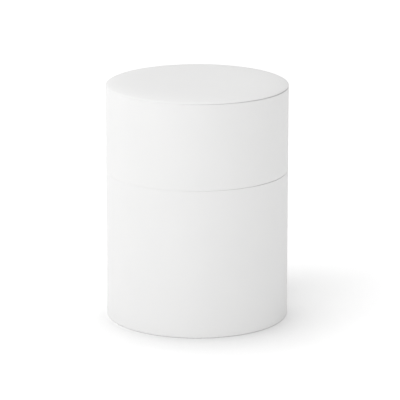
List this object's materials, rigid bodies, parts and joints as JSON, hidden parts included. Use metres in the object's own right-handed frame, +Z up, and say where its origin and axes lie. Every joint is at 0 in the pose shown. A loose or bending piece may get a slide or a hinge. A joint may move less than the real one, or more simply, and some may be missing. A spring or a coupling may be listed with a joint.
{
  "type": "storage tin",
  "caption": "Round painted steel storage tin with a flush slip-over lid, a tinplate inner sleeve and a plug-in inner lid with a knob.",
  "frame": {"origin": "on the table, at the centre of the foot", "axes": "+Z up along the tin's axis, the way both lids pull off; -Y is the side that the picture shows"},
  "size_m": [0.092, 0.092, 0.1215],
  "materials": {
    "white_paint": "matte white paint on steel sheet",
    "tinplate": "bright tinned steel sheet with a fine rolling grain",
    "brass": "turned brass, satin",
    "plated_steel": "zinc-plated steel"
  },
  "bodies": {
    "body": {"body_shell": "white_paint", "base_plate": "white_paint", "inner_sleeve": "tinplate", "sleeve_floor": "tinplate"},
    "inner_lid": {"inner_lid_disc": "tinplate", "inner_lid_skirt": "tinplate", "knob": "brass", "knob_washer": "plated_steel", "knob_screw": "plated_steel"},
    "outer_lid": {"lid_shell": "white_paint", "lid_top": "white_paint"}
  },
  "joints": [
    {"name": "inner_lid_lift", "type": "slide", "parent": "body", "child": "inner_lid", "axis": [0, 0, 1], "range_m": [0, 0.06]},
    {"name": "outer_lid_lift", "type": "slide", "parent": "inner_lid", "child": "outer_lid", "axis": [0, 0, 1], "range_m": [0, 0.06]}
  ]
}
